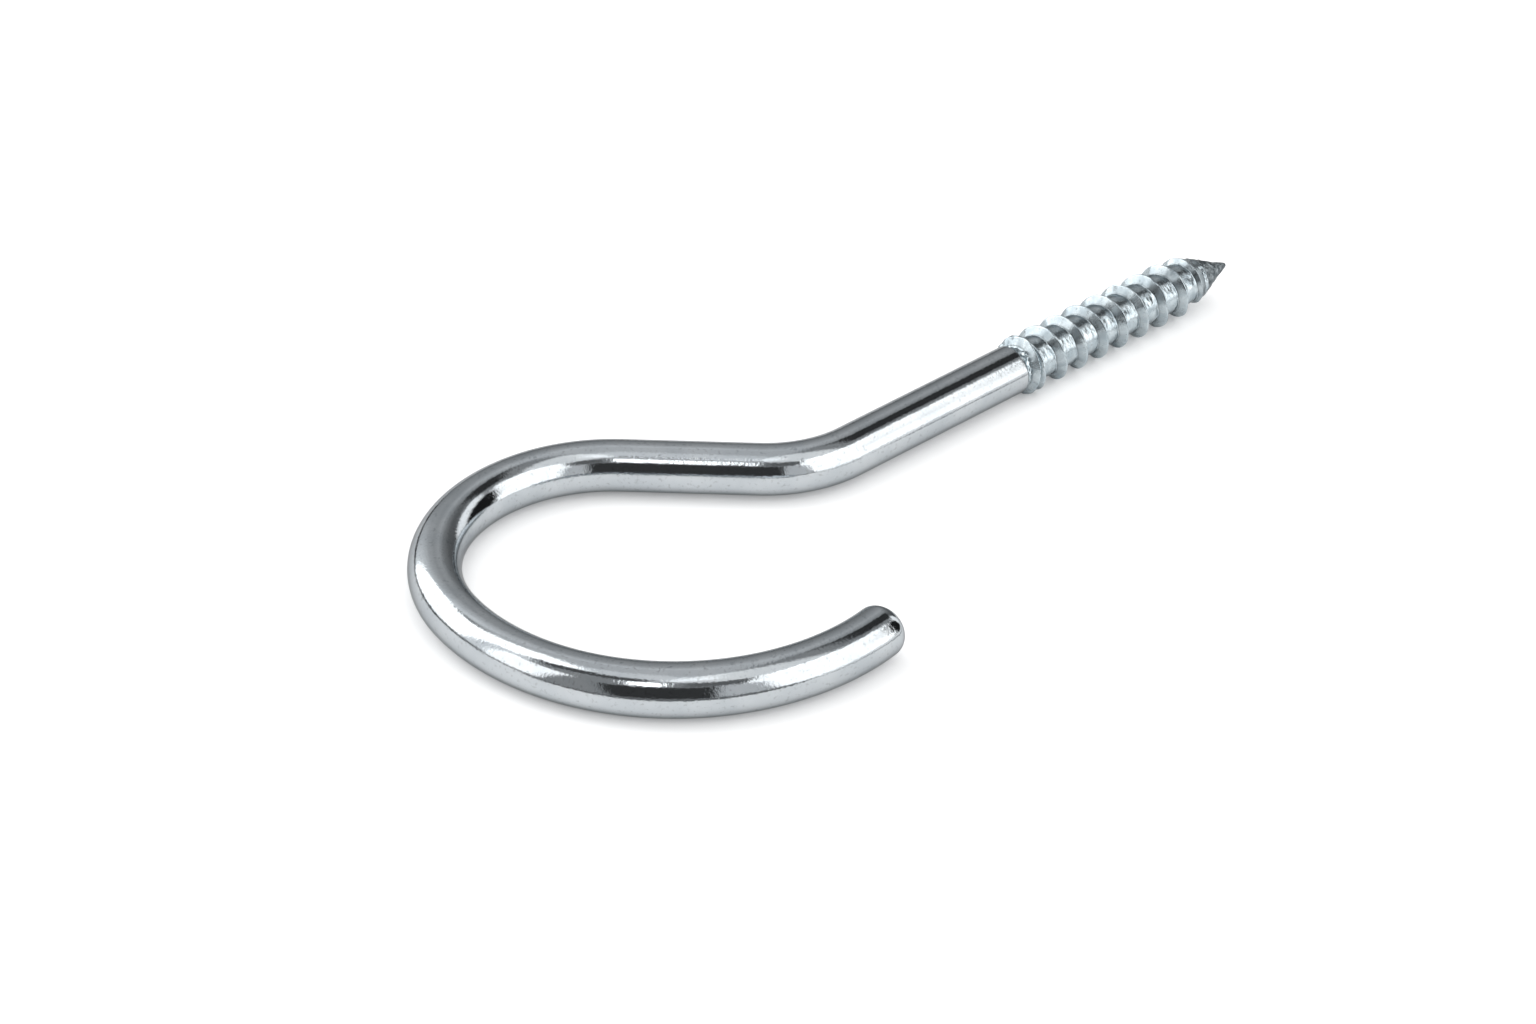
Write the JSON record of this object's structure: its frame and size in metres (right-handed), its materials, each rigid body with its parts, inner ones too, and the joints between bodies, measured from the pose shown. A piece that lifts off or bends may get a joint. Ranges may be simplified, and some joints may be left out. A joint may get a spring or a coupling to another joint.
{
  "type": "chandelier hook",
  "caption": "Bent-wire ceiling hook with an offset round bow, plain shank and coarse wood-screw thread with a cone point.",
  "frame": {"origin": "centre of the shoulder on the shank's axis, where the plain wire ends and the thread begins", "axes": "+X along the thread to its point, +Z square to the plane that the wire is bent in, bow on the -X side"},
  "size_m": [0.1153, 0.0522, 0.007],
  "materials": {
    "zinc_plated_steel": "bright zinc plating, smooth on the bent wire and finely mottled on the rolled thread"
  },
  "bodies": {
    "root": {"hook": "zinc_plated_steel"}
  },
  "joints": []
}
